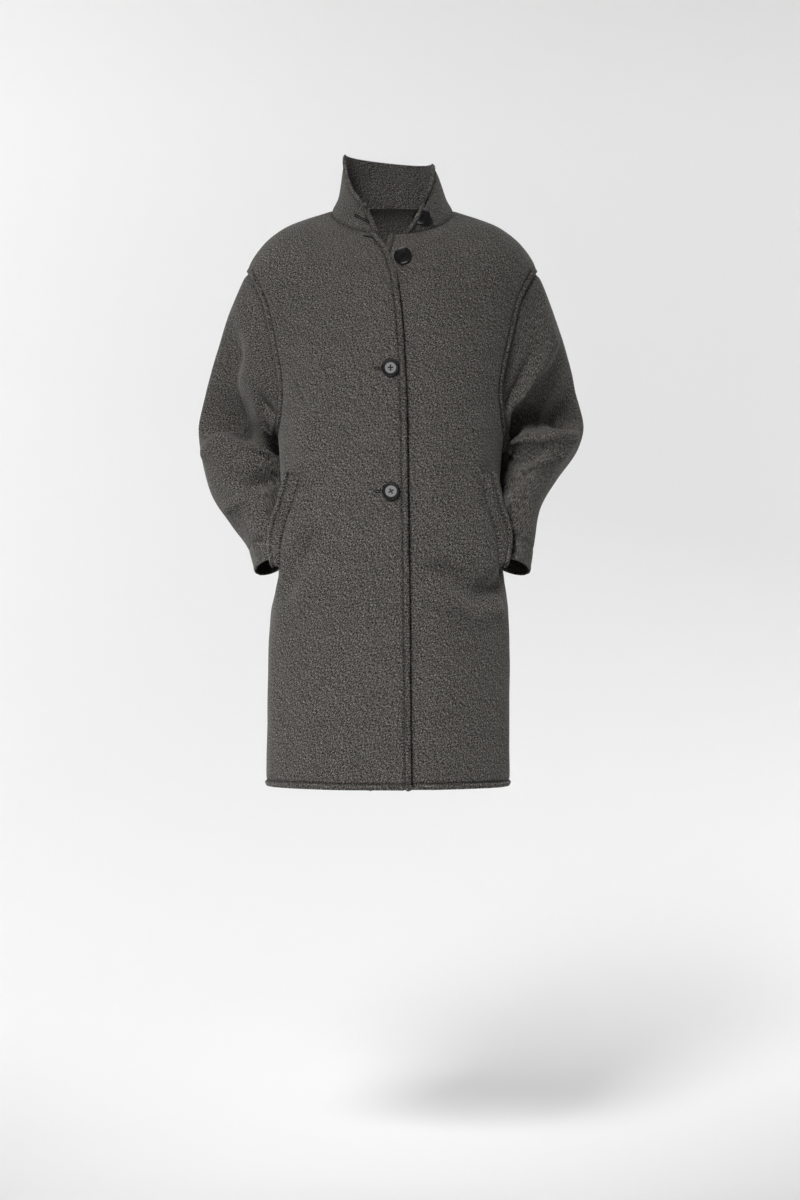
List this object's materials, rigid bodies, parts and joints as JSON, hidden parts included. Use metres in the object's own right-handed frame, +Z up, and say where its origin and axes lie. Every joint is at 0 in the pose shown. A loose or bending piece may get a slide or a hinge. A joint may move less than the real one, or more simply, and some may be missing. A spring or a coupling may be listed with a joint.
{
  "type": "short coat",
  "caption": "Above-knee wool coat with a stand collar, dropped shoulders, rounded sleeves bent to the welt pockets and a single-breasted front buttoned below an open neck.",
  "frame": {"origin": "on the centre line, at the height where the coat lies on the shoulders beside the neck", "axes": "+Z up along the coat's length, -Y towards the buttoned front, +X to the wearer's left"},
  "size_m": [0.6254, 0.292, 1.0063],
  "materials": {
    "wool": "matte brushed double-faced wool, charcoal melange",
    "button": "polished dark horn-like resin"
  },
  "bodies": {
    "root": {"back": "wool", "front_left": "wool", "front_right": "wool", "collar": "wool", "sleeve_left_upper": "wool", "sleeve_left_under": "wool", "sleeve_right_upper": "wool", "sleeve_right_under": "wool", "welt_left": "wool", "welt_right": "wool", "button_collar": "button", "button_top": "button", "button_middle": "button", "button_lower": "button"}
  },
  "joints": []
}
